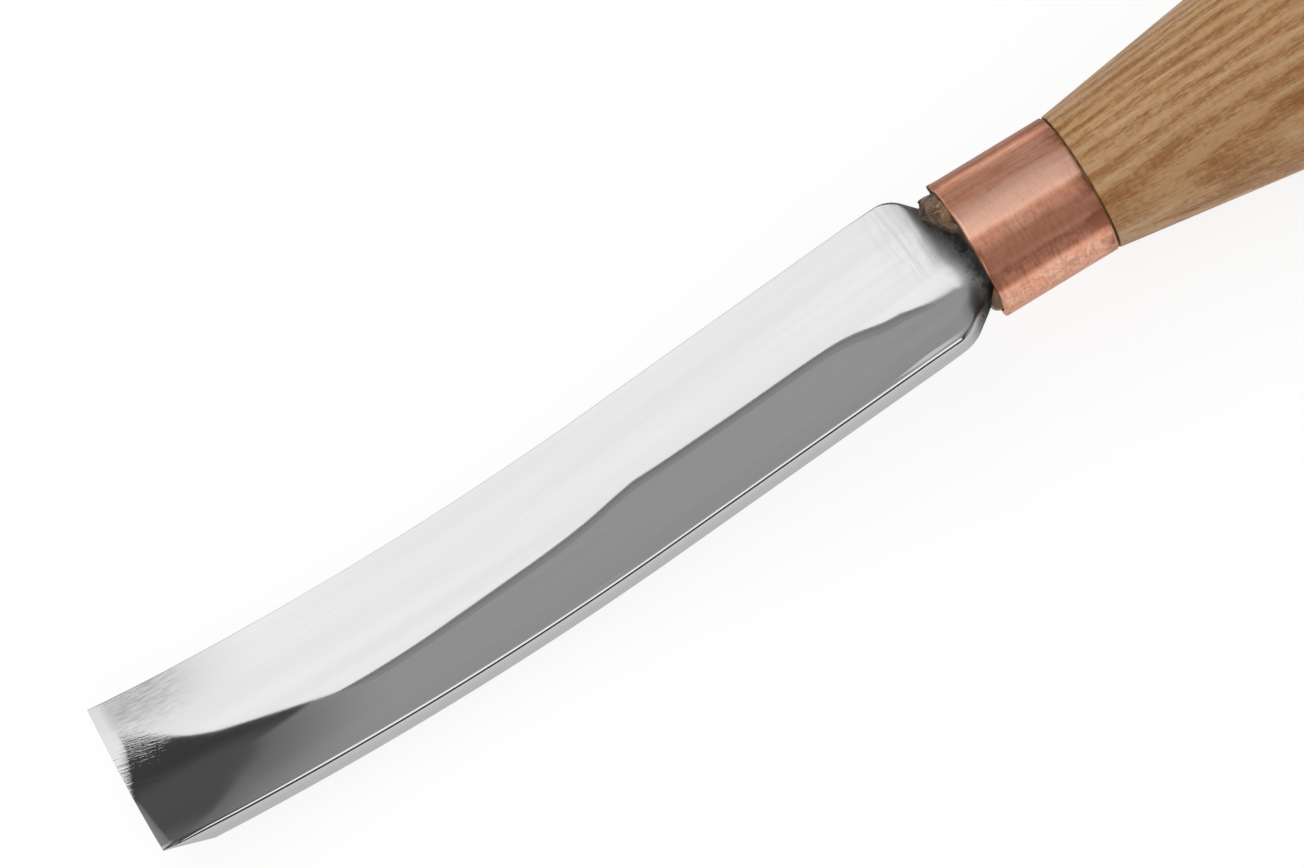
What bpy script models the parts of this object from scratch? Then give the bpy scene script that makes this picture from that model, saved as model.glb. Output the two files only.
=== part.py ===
"""Bent carving gouge.

A forged steel blade, hollow across its width and bent along its length, carries a tapered tang.
The tang is bedded in resin in a turned ash handle, and a length of copper tube keeps the handle's
tenon from splitting. Metres, +Z up. The handle's axis runs along X with the butt at +X, and the
hollow of the blade faces up.
"""

import math

import bmesh
import bpy
from mathutils import Vector

# Blade, with lengths along the channel floor from the ferrule's mouth
BLADE_LENGTH = 0.145
BLADE_WIDTH = 0.0258
BLADE_THICKNESS = 0.0030
CHANNEL_RADIUS = 0.025
SIDE_FLARE = math.radians(10.0)
ARRIS_ROUND = 0.0007
DROP_ANGLE = math.radians(9.0)
SHANK_LENGTH = 0.059
BEND_RADIUS = 0.257
BEVEL_LENGTH = 0.0077
INNER_BEVEL_LENGTH = 0.0016
INNER_BEVEL_DROP = 0.00015
EDGE_LAND = 0.00008

# Shoulder and neck
SHOULDER_ANGLE = math.radians(45.0)
SHOULDER_ROUND = 0.007
HOLLOW_START = -0.0015
HOLLOW_RUNOUT = 0.006
NECK_WIDTH = 0.0127
NECK_THICKNESS = 0.0042
NECK_DIP = 0.00055
NECK_RUN = 0.013
NECK_ROUND = 0.0015
NECK_BEND = 0.004

# Tang
TANG_LENGTH = 0.068
TANG_ROOT_WIDTH = 0.0075
TANG_ROOT_THICKNESS = 0.0050
TANG_TIP_WIDTH = 0.0034
TANG_TIP_THICKNESS = 0.0026

# Ferrule, a cut length of copper tube
FERRULE_DIAMETER = 0.022
FERRULE_WALL = 0.0009
FERRULE_LENGTH = 0.0189
FERRULE_ROUND = 0.0003

# Handle, with lengths along its axis from the ferrule's rear end
HANDLE_LENGTH = 0.125
CONE_LENGTH = 0.030
CONE_ANGLE = math.radians(8.3)
BELLY_AT = 0.060
BELLY_DIAMETER = 0.035
TAIL_DIAMETER = 0.030
TAIL_ANGLE = math.radians(4.0)
BUTT_ROUND_LENGTH = 0.013
BUTT_FACE_DIAMETER = 0.016
TENON_PROUD = 0.0011
TENON_CHAMFER = 0.0011
BORE_DIAMETER = 0.0114
BORE_SPARE = 0.003
DRILL_POINT = 0.0025

# Bead of resin squeezed out over the tenon's end
BEAD_RADIUS = 0.0066
BEAD_HALF_WIDTH = 0.0025
BEAD_HEIGHT = 0.0019
BEAD_LUMP = 0.18
BEAD_FROM = math.radians(-30.0)
BEAD_TO = math.radians(104.0)
PLUG_PROUD = 0.0006

# Fits and mesh counts
FIT_GAP = 0.0003
TURN_STEPS = 48
ARC_STEPS = 12
ROUND_SHARE = 0.35
MERGE_DISTANCE = 1e-6
SHARP_ANGLE = math.radians(32.0)

STEEL = ((0.56, 0.56, 0.57), 0.24, 1.0)
COPPER = ((0.64, 0.33, 0.22), 0.38, 1.0)
ASH = ((0.37, 0.20, 0.095), 0.52, 0.0)
RESIN = ((0.17, 0.075, 0.028), 0.45, 0.0)


def blend(start, end, share):
    """Value between two others, eased at both ends; share runs from 0 to 1."""
    share = min(max(share, 0.0), 1.0)
    return start + (end - start) * share * share * (3.0 - 2.0 * share)


def spread(start, end, steps):
    """Evenly spaced values after start, up to and including end."""
    return [start + (end - start) * step / steps for step in range(1, steps + 1)]


# Blade: the line that the channel floor follows, and the section at each place along it

def spine(u):
    """Floor point and heading at a distance from the ferrule's mouth, negative inside the handle."""
    x = NECK_BEND / 2.0
    z = 0.0
    heading = 0.0
    left = u + NECK_BEND / 2.0
    if left <= 0.0:
        return -u, 0.0, 0.0
    bend_length = BLADE_LENGTH - SHANK_LENGTH
    legs = (
        (NECK_BEND, -DROP_ANGLE),
        (SHANK_LENGTH - NECK_BEND / 2.0, 0.0),
        (bend_length, bend_length / BEND_RADIUS),
    )
    for length, turn in legs:
        run = min(left, length)
        swing = turn * run / length
        if turn:
            radius = length / turn
            x -= radius * (math.sin(heading + swing) - math.sin(heading))
            z -= radius * (math.cos(heading + swing) - math.cos(heading))
        else:
            x -= run * math.cos(heading)
            z += run * math.sin(heading)
        heading += swing
        left -= run
    return x, z, heading


def tang_root():
    """Distance from the mouth at which the sloping shoulder meets the tang."""
    return -(NECK_WIDTH - TANG_ROOT_WIDTH) / 2.0 / math.tan(SHOULDER_ANGLE)


def half_width(u):
    """Half the width across the upper arrises: tang taper, shoulder slope, round corner, blade."""
    full = BLADE_WIDTH / 2.0
    root = tang_root()
    if u < root:
        share = (u + TANG_LENGTH) / (root + TANG_LENGTH)
        return (TANG_TIP_WIDTH + (TANG_ROOT_WIDTH - TANG_TIP_WIDTH) * share) / 2.0
    slope = math.tan(SHOULDER_ANGLE)
    corner = (full - NECK_WIDTH / 2.0) / slope
    tangent = SHOULDER_ROUND * math.tan(SHOULDER_ANGLE / 2.0)
    round_end = corner + tangent
    round_start = corner - tangent * math.cos(SHOULDER_ANGLE)
    if u >= round_end:
        return full
    if u <= round_start:
        return NECK_WIDTH / 2.0 + u * slope
    return full - SHOULDER_ROUND + math.sqrt(SHOULDER_ROUND ** 2 - (round_end - u) ** 2)


def faces_at(u):
    """Heights of the upper and lower face over the channel floor, on the blade's centre line."""
    root = tang_root()
    if u < root:
        share = (u + TANG_LENGTH) / (root + TANG_LENGTH)
        thick = TANG_TIP_THICKNESS + (TANG_ROOT_THICKNESS - TANG_TIP_THICKNESS) * share
        return thick / 2.0, -thick / 2.0
    if u < 0.0:
        share = u / root
        upper = blend(-NECK_DIP, TANG_ROOT_THICKNESS / 2.0, share)
        return upper, blend(-NECK_DIP - NECK_THICKNESS, -TANG_ROOT_THICKNESS / 2.0, share)
    to_edge = BLADE_LENGTH - u
    if to_edge < BEVEL_LENGTH:
        share = to_edge / BEVEL_LENGTH
        thin = INNER_BEVEL_DROP + EDGE_LAND
        upper = -INNER_BEVEL_DROP * max(0.0, 1.0 - to_edge / INNER_BEVEL_LENGTH)
        return upper, -(thin + (BLADE_THICKNESS - thin) * share)
    share = u / NECK_RUN
    return blend(-NECK_DIP, 0.0, share), blend(-NECK_DIP - NECK_THICKNESS, -BLADE_THICKNESS, share)


def softened(before, corner, after):
    """Point that rounds a corner between the two points where the rounding starts and ends."""
    return (before + corner * 2.0 + after) / 4.0


def section(u, grow=0.0):
    """Closed outline across the blade, as points in space, widened all round by grow."""
    half = half_width(u) + grow
    upper, lower = faces_at(u)
    upper += grow
    lower -= grow
    hollow = blend(0.0, 1.0, (u - HOLLOW_START) / HOLLOW_RUNOUT)
    lower_half = half + (upper - lower) * math.tan(SIDE_FLARE) * hollow
    outer_radius = CHANNEL_RADIUS - lower

    def top(y):
        return Vector((y, upper + hollow * (CHANNEL_RADIUS - math.sqrt(CHANNEL_RADIUS ** 2 - y * y))))

    def bottom(y):
        return Vector((y, lower + hollow * (outer_radius - math.sqrt(outer_radius ** 2 - y * y))))

    side = (top(half) - bottom(lower_half)).length
    most_round = ROUND_SHARE * min(side, half)
    top_round = min(ARRIS_ROUND, most_round)
    bottom_round = min(blend(NECK_ROUND, ARRIS_ROUND, u / NECK_RUN), most_round)
    top_flat = half - top_round
    bottom_flat = lower_half - bottom_round
    outline = [top(y) for y in [-top_flat] + spread(-top_flat, top_flat, ARC_STEPS)]
    under = [bottom(y) for y in [bottom_flat] + spread(bottom_flat, -bottom_flat, ARC_STEPS)]
    for sign, above, below in ((1.0, outline[-1], under[0]), (-1.0, outline[0], under[-1])):
        high = top(sign * half)
        low = bottom(sign * lower_half)
        down = (low - high).normalized()
        face = [high + down * top_round, low - down * bottom_round]
        wall = [softened(above, high, face[0])] + face + [softened(face[1], low, below)]
        if sign > 0.0:
            outline += wall + under
        else:
            outline += wall[::-1]
    x, z, heading = spine(u)
    lean = math.sin(heading)
    rise = math.cos(heading)
    return [Vector((x + v * lean, y, z + v * rise)) for y, v in outline]


def tang_stations():
    """Places of the sections from the tang's tip to the end of the neck."""
    root = tang_root()
    places = [-TANG_LENGTH] + spread(-TANG_LENGTH, root, 3)
    return places + spread(root, 0.0, 4) + spread(0.0, NECK_RUN, 16)


def blade_stations():
    """Places of all the sections, from the tang's tip to the cutting edge."""
    places = tang_stations() + spread(NECK_RUN, SHANK_LENGTH, 3)
    places += spread(SHANK_LENGTH, BLADE_LENGTH - BEVEL_LENGTH, 16)
    places += spread(BLADE_LENGTH - BEVEL_LENGTH, BLADE_LENGTH - INNER_BEVEL_LENGTH, 3)
    return places + [BLADE_LENGTH]


# Mesh helpers

def finish_mesh(bm, name, material):
    """Turn a bmesh into a smooth-shaded object that hangs on the tool's own frame."""
    bmesh.ops.remove_doubles(bm, verts=bm.verts, dist=MERGE_DISTANCE)
    bmesh.ops.recalc_face_normals(bm, faces=bm.faces)
    mesh = bpy.data.meshes.new(name)
    bm.to_mesh(mesh)
    bm.free()
    mesh.shade_smooth()
    mesh.set_sharp_from_angle(angle=SHARP_ANGLE)
    if material:
        mesh.materials.append(material)
    piece = bpy.data.objects.new(name, mesh)
    bpy.context.collection.objects.link(piece)
    return piece


def loft(name, rings, material=None):
    """Skin over a row of closed rings with equal counts of points, capped at both ends."""
    bm = bmesh.new()
    rows = [[bm.verts.new(point) for point in ring] for ring in rings]
    for row, following in zip(rows, rows[1:]):
        for index in range(len(row)):
            after = (index + 1) % len(row)
            bm.faces.new((row[index], row[after], following[after], following[index]))
    bm.faces.new(rows[0])
    bm.faces.new(rows[-1])
    return finish_mesh(bm, name, material)


def turned(name, outline, material, closed):
    """Solid turned round the X axis from (along, radius) points."""
    bm = bmesh.new()
    verts = [bm.verts.new((along, 0.0, radius)) for along, radius in outline]
    edges = [bm.edges.new(pair) for pair in zip(verts, verts[1:])]
    if closed:
        edges.append(bm.edges.new((verts[-1], verts[0])))
    bmesh.ops.spin(
        bm, geom=verts + edges, cent=(0.0, 0.0, 0.0), axis=(1.0, 0.0, 0.0),
        angle=math.tau, steps=TURN_STEPS, use_merge=True,
    )
    return finish_mesh(bm, name, material)


def combine(piece, other, operation):
    """Boolean between a piece and a helper, which is kept as a hidden wire shape."""
    modifier = piece.modifiers.new(other.name, 'BOOLEAN')
    modifier.operation = operation
    modifier.solver = 'EXACT'
    modifier.object = other
    other.hide_render = True
    other.display_type = 'WIRE'


def make_material(name, look):
    """Principled material from a colour, a roughness and a metallic value."""
    colour, roughness, metallic = look
    material = bpy.data.materials.new(name)
    material.use_nodes = True
    shader = material.node_tree.nodes['Principled BSDF']
    shader.inputs['Base Color'].default_value = (*colour, 1.0)
    shader.inputs['Roughness'].default_value = roughness
    shader.inputs['Metallic'].default_value = metallic
    return material


# Handle: the turned outline

def hermite(start, end, slope_start, slope_end, steps):
    """Smooth outline between two (along, radius) points with a given slope at each."""
    length = end[0] - start[0]
    points = []
    for share in spread(0.0, 1.0, steps):
        square = share * share
        cube = square * share
        radius = (2.0 * cube - 3.0 * square + 1.0) * start[1] + (3.0 * square - 2.0 * cube) * end[1]
        radius += length * ((cube - 2.0 * square + share) * slope_start + (cube - square) * slope_end)
        points.append((start[0] + length * share, radius))
    return points


def butt_round(start, end, slope, steps):
    """Bezier that leaves the tail along its slope and meets the butt face square to the axis."""
    pull = 0.55
    reach = (end[0] - start[0]) * pull
    first = (start[0] + reach, start[1] + reach * slope)
    second = (end[0], end[1] + (start[1] - end[1]) * pull)
    points = []
    for share in spread(0.0, 1.0, steps):
        rest = 1.0 - share
        weights = (rest ** 3, 3.0 * rest * rest * share, 3.0 * rest * share * share, share ** 3)
        knots = (start, first, second, end)
        points.append(tuple(sum(w * knot[axis] for w, knot in zip(weights, knots)) for axis in (0, 1)))
    return points


def bore_depth():
    """Depth of the full bore below the ferrule's mouth."""
    return TANG_LENGTH + BORE_SPARE


def butt_place():
    """Place of the butt face along the axis."""
    return FERRULE_LENGTH + HANDLE_LENGTH


def handle_outline():
    """Half section of the handle, from the bottom of its bore round the outside to the butt."""
    bore = BORE_DIAMETER / 2.0
    tenon = FERRULE_DIAMETER / 2.0 - FERRULE_WALL - FIT_GAP
    shoulder = (FERRULE_LENGTH + FIT_GAP, FERRULE_DIAMETER / 2.0)
    cone_slope = math.tan(CONE_ANGLE)
    tail_slope = -math.tan(TAIL_ANGLE)
    cone_end = (FERRULE_LENGTH + CONE_LENGTH, shoulder[1] + (CONE_LENGTH - FIT_GAP) * cone_slope)
    belly = (FERRULE_LENGTH + BELLY_AT, BELLY_DIAMETER / 2.0)
    tail = (butt_place() - BUTT_ROUND_LENGTH, TAIL_DIAMETER / 2.0)
    butt = (butt_place(), BUTT_FACE_DIAMETER / 2.0)
    outline = [
        (bore_depth() + DRILL_POINT, 0.0),
        (bore_depth(), bore),
        (-TENON_PROUD, bore),
        (-TENON_PROUD, tenon - TENON_CHAMFER),
        (-TENON_PROUD + TENON_CHAMFER, tenon),
        (shoulder[0], tenon),
        shoulder,
        cone_end,
    ]
    outline += hermite(cone_end, belly, cone_slope, 0.0, 7)
    outline += hermite(belly, tail, 0.0, tail_slope, 8)
    outline += butt_round(tail, butt, tail_slope, 8)
    return outline + [(butt_place(), 0.0)]


# The four pieces

def make_blade():
    return loft('blade', [section(u) for u in blade_stations()], make_material('steel', STEEL))


def make_ferrule():
    outside = FERRULE_DIAMETER / 2.0
    inside = outside - FERRULE_WALL
    outline = [
        (FERRULE_ROUND, outside),
        (FERRULE_LENGTH - FERRULE_ROUND, outside),
        (FERRULE_LENGTH, outside - FERRULE_ROUND),
        (FERRULE_LENGTH, inside),
        (0.0, inside),
        (0.0, outside - FERRULE_ROUND),
    ]
    return turned('ferrule', outline, make_material('copper', COPPER), closed=True)


def make_tang_room():
    """Blade root widened by the fit, which cuts the seat of the tang and of the shoulders."""
    places = tang_stations()
    rings = [section(u, FIT_GAP) for u in places]
    tip = [point + Vector((FIT_GAP, 0.0, 0.0)) for point in rings[0]]
    return loft('tang_room', [tip] + rings)


def make_handle(tang_room):
    handle = turned('handle', handle_outline(), make_material('ash', ASH), closed=False)
    combine(handle, tang_room, 'DIFFERENCE')
    return handle


def bead_ring(angle, share):
    """Section of the squeezed-out bead at an angle round the mouth: flat below, domed above."""
    swell = math.sin(math.pi * min(max(share, 0.04), 0.96)) ** 0.5
    lumpy = 1.0 + BEAD_LUMP * math.sin(5.0 * angle + 0.7) + BEAD_LUMP * math.sin(11.0 * angle) / 2.0
    base = -TENON_PROUD - FIT_GAP
    ring = []
    for turn in spread(0.0, math.pi, 7):
        radius = BEAD_RADIUS + BEAD_HALF_WIDTH * swell * math.cos(turn - math.pi / 7.0)
        along = base - BEAD_HEIGHT * swell * lumpy * math.sin(turn - math.pi / 7.0)
        ring.append(Vector((along, radius * math.cos(angle), radius * math.sin(angle))))
    radius = BEAD_RADIUS - BEAD_HALF_WIDTH * swell
    ring.append(Vector((base, radius * math.cos(angle), radius * math.sin(angle))))
    return ring


def make_tang_resin(tang_room):
    """Plug in the bore with the bead on its mouth, less the room for the tang."""
    plug = BORE_DIAMETER / 2.0 - FIT_GAP
    bottom = bore_depth() - FIT_GAP
    mouth = -TENON_PROUD - PLUG_PROUD
    outline = [(mouth, 0.0), (mouth, plug), (bottom, plug), (bottom, 0.0)]
    resin = turned('tang_resin', outline, make_material('resin', RESIN), closed=False)
    steps = 14
    shares = [0.0] + spread(0.0, 1.0, steps)
    bead = loft('bead', [bead_ring(BEAD_FROM + (BEAD_TO - BEAD_FROM) * share, share) for share in shares])
    combine(resin, bead, 'UNION')
    combine(resin, tang_room, 'DIFFERENCE')
    return resin


def main():
    for existing in list(bpy.data.objects):
        bpy.data.objects.remove(existing)
    tang_room = make_tang_room()
    pieces = [make_blade(), make_ferrule(), make_handle(tang_room), make_tang_resin(tang_room)]

    # The frame stands under the middle of the tool, on the surface that it lies on.
    sections = [section(u) for u in blade_stations()]
    tip_place = min(point.x for point in sections[-1])
    heel_depth = max(-point.z for ring in sections for point in ring)
    axis_height = max(BELLY_DIAMETER / 2.0, heel_depth)
    frame = bpy.data.objects.new('tool_frame', None)
    frame.location = (-(tip_place + butt_place()) / 2.0, 0.0, axis_height)
    bpy.context.collection.objects.link(frame)
    helpers = [thing for thing in bpy.data.objects if thing.hide_render]
    for piece in pieces + helpers:
        piece.parent = frame


main()
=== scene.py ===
"""Bent carving gouge, dressed for its photograph.

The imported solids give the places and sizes. Each of the four pieces, the steel blade, the copper
ferrule, the ash handle and the resin that beds the tang, is drawn again as a fine surface worked out
on a grid, with its own finish. Metres, +Z up, the hollow of the blade up and the cutting edge at -X.
"""

import math

import bmesh
import bpy
import numpy as np
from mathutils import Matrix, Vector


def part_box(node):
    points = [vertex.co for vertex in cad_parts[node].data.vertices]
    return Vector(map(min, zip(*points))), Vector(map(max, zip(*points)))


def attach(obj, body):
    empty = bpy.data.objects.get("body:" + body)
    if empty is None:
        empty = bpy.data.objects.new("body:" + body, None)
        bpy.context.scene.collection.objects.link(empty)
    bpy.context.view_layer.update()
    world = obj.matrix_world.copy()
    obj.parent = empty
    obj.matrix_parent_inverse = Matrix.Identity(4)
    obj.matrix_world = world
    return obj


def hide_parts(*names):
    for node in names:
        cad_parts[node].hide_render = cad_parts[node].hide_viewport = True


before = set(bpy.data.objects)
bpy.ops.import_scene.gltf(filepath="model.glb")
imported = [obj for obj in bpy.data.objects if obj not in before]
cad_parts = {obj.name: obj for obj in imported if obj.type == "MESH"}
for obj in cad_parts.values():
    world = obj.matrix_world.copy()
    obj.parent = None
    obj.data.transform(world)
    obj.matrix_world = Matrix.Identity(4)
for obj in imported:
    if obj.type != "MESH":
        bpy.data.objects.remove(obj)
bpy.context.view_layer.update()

MM = 0.001
MICROMETRE = 1e-6

# Places taken from the frame; lengths along the tool start at the ferrule's mouth
FERRULE_LOW, FERRULE_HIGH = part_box("ferrule")
HANDLE_LOW, HANDLE_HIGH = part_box("handle")
MOUTH = np.array([FERRULE_LOW[0], 0.0, (FERRULE_LOW[2] + FERRULE_HIGH[2]) / 2.0])
FERRULE_RADIUS = (FERRULE_HIGH[1] - FERRULE_LOW[1]) / 2.0
FERRULE_LENGTH = FERRULE_HIGH[0] - FERRULE_LOW[0]
BUTT_PLACE = HANDLE_HIGH[0] - MOUTH[0]
BELLY_RADIUS = (HANDLE_HIGH[1] - HANDLE_LOW[1]) / 2.0
FIT_GAP = 0.3 * MM

# Blade, with lengths along the channel floor from the ferrule's mouth
BLADE_LENGTH = 145.0 * MM
BLADE_HALF_WIDTH = 12.9 * MM
BLADE_THICKNESS = 3.0 * MM
CHANNEL_RADIUS = 25.0 * MM
SIDE_FLARE = math.radians(10.0)
NEAR_ARRIS = np.array([0.90, 1.80]) * MM
FAR_ARRIS = np.array([0.20, 0.28]) * MM
NEAR_SHOULDER = np.array([0.90, 1.50]) * MM
FAR_SHOULDER = np.array([0.80, 0.50]) * MM
ARRIS_EASES_FROM = 6.0 * MM
ARRIS_EASES_OVER = 9.0 * MM
HEEL_RUN = 0.3 * MM
TIP_LIFT = 0.20 * MM
TIP_LIFT_RUN = 15.0 * MM
DROP_ANGLE = math.radians(9.0)
SHANK_LENGTH = 59.0 * MM
BEND_RADIUS = 257.0 * MM
BEVEL_LENGTH = 7.7 * MM
EDGE_LAND = 0.06 * MM
HONE_LEAST = 1.2 * MM
HONE_BULGE = 1.3 * MM
HONE_BULGE_AT = 6.5 * MM
HONE_CORNER = 0.4 * MM
HONE_CORNER_AT = -11.0 * MM
HONE_SPREAD = 4.0 * MM
HONE_SLOPE = 0.09
HONE_ROLL = 1.5
NECK_FINE_TO = 20.0 * MM

# Most of the side's height that the rounding of an arris may take, over and down, and that of a heel
ARRIS_MOST = (0.72, 0.60)
HEEL_MOST = 0.22

# Hand grinding of the hollow: waves as (slope across, length, phase), tilts as (slope, place, reach)
GRIND_WAVES = ((0.00636, 74.0 * MM, 0.4), (0.00424, 31.0 * MM, 0.0))
GRIND_TILTS = (
    (-0.0318, 28.0 * MM, 22.0 * MM),
    (-0.07208, 132.0 * MM, 14.0 * MM),
    (-0.01378, 61.0 * MM, 5.0 * MM),
    (0.0477, 13.5 * MM, 6.0 * MM),
)
GRIND_RUN_IN = 8.0 * MM
DISH_DEPTH = 0.315 * MM
DISH_FROM = -1.0 * MM
DISH_RUN_IN = 5.0 * MM
DISH_AT = 5.0 * MM
DISH_REACH = 8.0 * MM
DISH_TURNS_AT = -4.0 * MM
DISH_TURNS_OVER = 3.0 * MM
WHET_SLANT = 0.15

# Shoulder, neck and tang
SHOULDER_ANGLE = math.radians(45.0)
SHOULDER_ROUND = 5.0 * MM
HOLLOW_STARTS = -1.5 * MM
HOLLOW_RUNOUT = 6.0 * MM
NECK_RUN = 13.0 * MM
NECK_HALF_WIDTH = 6.7 * MM
FAR_NECK_HALF_WIDTH = 7.4 * MM
NECK_THICKNESS = 4.2 * MM
NECK_RISE = -0.30 * MM
NECK_HEEL_RUN = 1.0 * MM
NECK_BEND = 4.0 * MM
TANG_LENGTH = 68.0 * MM
TANG_ROOT = np.array([3.75, 2.5]) * MM
TANG_TIP = np.array([1.7, 1.3]) * MM

# Ferrule, with its unevenness as waves round it: (height, number, phase, turn per metre)
FERRULE_WALL = 0.9 * MM
FERRULE_ROUND = 0.28 * MM
FERRULE_FLATS = ((0.012 * MM, 9.0, 0.5, 0.0), (0.010 * MM, 23.0, 0.0, 40.0))
MOUTH_WAVES = ((0.05 * MM, 3.0, 1.0, 0.0), (0.04 * MM, 11.0, 0.0, 0.0))
MOUTH_RUN = 3.0 * MM
BURR_AT = math.radians(297.0)
BURR_SPREAD = 0.06
BURR_SHARPNESS = 8
BURR_RISE = 0.18 * MM
BURR_REACH = 0.30 * MM

# Bands round the ferrule, in radians from straight up to the near side: rise from, to, fall from, to
# Painted highlight: a bright strip near the top of the ferrule
PAINTED_HIGHLIGHT_BAND = (-0.12, -0.02, 0.33, 0.40)
GRIMY_BAND = (-0.45, -0.25, -0.05, 0.10)
# Painted shade tint: deeper copper where the dark band of the reflection falls
PAINTED_SHADE_TINT_BAND = (0.58, 0.68, 0.88, 0.96)
# Painted reflection: paler copper low on the near side, where the white floor is mirrored
PAINTED_REFLECTION_BAND = (1.20, 1.36, 1.80, 2.40)
VEINED_BAND = (1.15, 1.40, 2.40, 3.00)
# Painted shade: darker bands round the ferrule where its reflections fall dark, as (share, band)
PAINTED_SHADE_BANDS = (
    (0.50, (0.34, 0.46, 0.58, 0.72)),
    (0.78, (0.87, 0.97, 1.14, 1.27)),
    (0.12, (0.58, 0.72, 0.88, 0.96)),
    (0.12, (1.28, 1.42, 1.90, 2.20)),
    (0.85, (-1.50, -1.30, -0.74, -0.56)),
)

# Handle, with lengths from the ferrule's rear end; those of tenon and bore run from the mouth
CONE_LENGTH = 30.0 * MM
CONE_SLOPE = math.tan(math.radians(8.3))
BELLY_AT = 60.0 * MM
TAIL_RADIUS = 15.0 * MM
TAIL_SLOPE = -math.tan(math.radians(4.0))
BUTT_ROUND_LENGTH = 13.0 * MM
BUTT_FACE_RADIUS = 8.0 * MM
BUTT_PULL = 0.55
TENON_RADIUS = FERRULE_RADIUS - FERRULE_WALL - FIT_GAP
TENON_PROUD = 1.1 * MM
TENON_CHAMFER = 1.1 * MM
TENON_RIPPLE = 0.10 * MM
TENON_FACE_LEAST = 0.10 * MM
BORE_RADIUS = 5.7 * MM
BORE_DEPTH = 71.0 * MM
BORE_MIDDLE = 40.0 * MM
BORE_WIDENS_FROM = 12.0 * MM
DRILL_POINT = 2.5 * MM
SHOULDER_EASE = 0.25 * MM

# Wood: the pith's place beside the handle's axis, its lean along the tool, the width of a year's ring
PITH_FAR = 63.0 * MM
PITH_BELOW = 17.0 * MM
PITH_LEAN = 0.096
GROWTH_RING = 2.0 * MM

# Pocket cut into the tenon's end and filled with resin; angles run from straight up to the near side
POCKET_FROM = math.radians(-112.0)
POCKET_TO = math.radians(101.0)
POCKET_FADE = math.radians(9.0)
POCKET_DEPTH = 2.2 * MM
RESIN_SUNK = 0.5 * MM
SKIN_LEAST = 0.12 * MM
PLUG_MARGIN = 0.2 * MM
PLUG_STEP = 0.3 * MM
RIM_FALL = 0.3
NECK_ROOM_LEAST = 0.15 * MM
TUBE_GAP = 0.15 * MM
LUMP_LEAN = math.radians(27.0)
LUMP_FROM = 2.6 * MM
LUMP_SLOPE = 1.66
LUMP_PROUD = 3.2 * MM
LUMP_ROOT = 0.6 * MM
LUMP_ROUGHNESS = 0.26 * MM
PEBBLES_FROM = 0.4 * MM
PEBBLES_OVER = 1.0 * MM
PEBBLES = ((1.0, 3.4 * MM, 11), (0.5, 1.6 * MM, 12), (0.14, 0.7 * MM, 13))
SIDE_PEBBLES = (0.6, 2.2 * MM, 14)

# Camera: how far it leans to the near side, tips along the tool and rolls, and what it aims at
CAMERA_LEAN = math.radians(27.281)
CAMERA_TIP = math.radians(-1.208)
CAMERA_ROLL = math.radians(31.245)
CAMERA_REACH = 791.27 * MM
CAMERA_AIM = np.array([-52.441, 1.145, 0.0]) * MM
CAMERA_LENS_PIXELS = 5500.0
IMAGE_WIDTH_PIXELS = 1304.0
SENSOR_MM = 36.0
CAMERA_CLIP = (0.05, 50.0)

# Studio in metres; the softbox stands over the ferrule's mouth, its rims are (from, to, strength)
SOFTBOX_HEIGHT = 0.80
SOFTBOX_CORNERS = ((-0.07, 0.618), (-0.70, 0.03), (-0.62, -0.66), (0.25, -0.66))
SOFTBOX_STRENGTH = 1.42
SOFTBOX_RIMS = ((0.0, 0.04, 0.30), (0.04, 0.09, 0.38), (0.09, 0.16, 0.48))
FLOOR_RADIUS = 6.0
COVE_HEIGHT = 0.72
FLOOR_GLOW = 1.06
FLOOR_GLOW_SHARE = 0.80
FILL_LAMPS = ((-1.0, 6.6), (1.0, 5.2))
FILL_SIZE = 1.0
FILL_PLACE = (0.05, 0.8, 0.95)
FILL_TILT = math.radians(40.0)

# Distance at which points are one, length of an edge that is none, guard against dividing by 0
WELD = 1e-7
SLIVER = 1e-8
TINY = 1e-6


# Shapes as whole arrays

def ease(start, end, share):
    """Value that goes from start to end with a level start and finish as share goes from 0 to 1."""
    share = np.clip(share, 0.0, 1.0)
    return start + (end - start) * share * share * (3.0 - 2.0 * share)


def lumps(points, size, seed):
    """Smooth bumpiness between about -1 and 1: a sum of sine waves in random directions."""
    waves = 14
    dice = np.random.default_rng(seed)
    directions = dice.normal(size=(waves, 3))
    directions *= 2.0 * math.pi / size / np.linalg.norm(directions, axis=1)[:, None]
    directions *= dice.uniform(0.6, 1.5, size=(waves, 1))
    phases = dice.uniform(0.0, 2.0 * math.pi, size=waves)
    return np.sin(points @ directions.T + phases).sum(axis=-1) / math.sqrt(waves)


def stations(*stretches):
    """Places in a row: each stretch is (start, end, steps) and the shared ends come once."""
    rows = [np.linspace(start, end, steps, endpoint=False) for start, end, steps in stretches]
    return np.concatenate(rows + [[stretches[-1][1]]])


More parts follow.
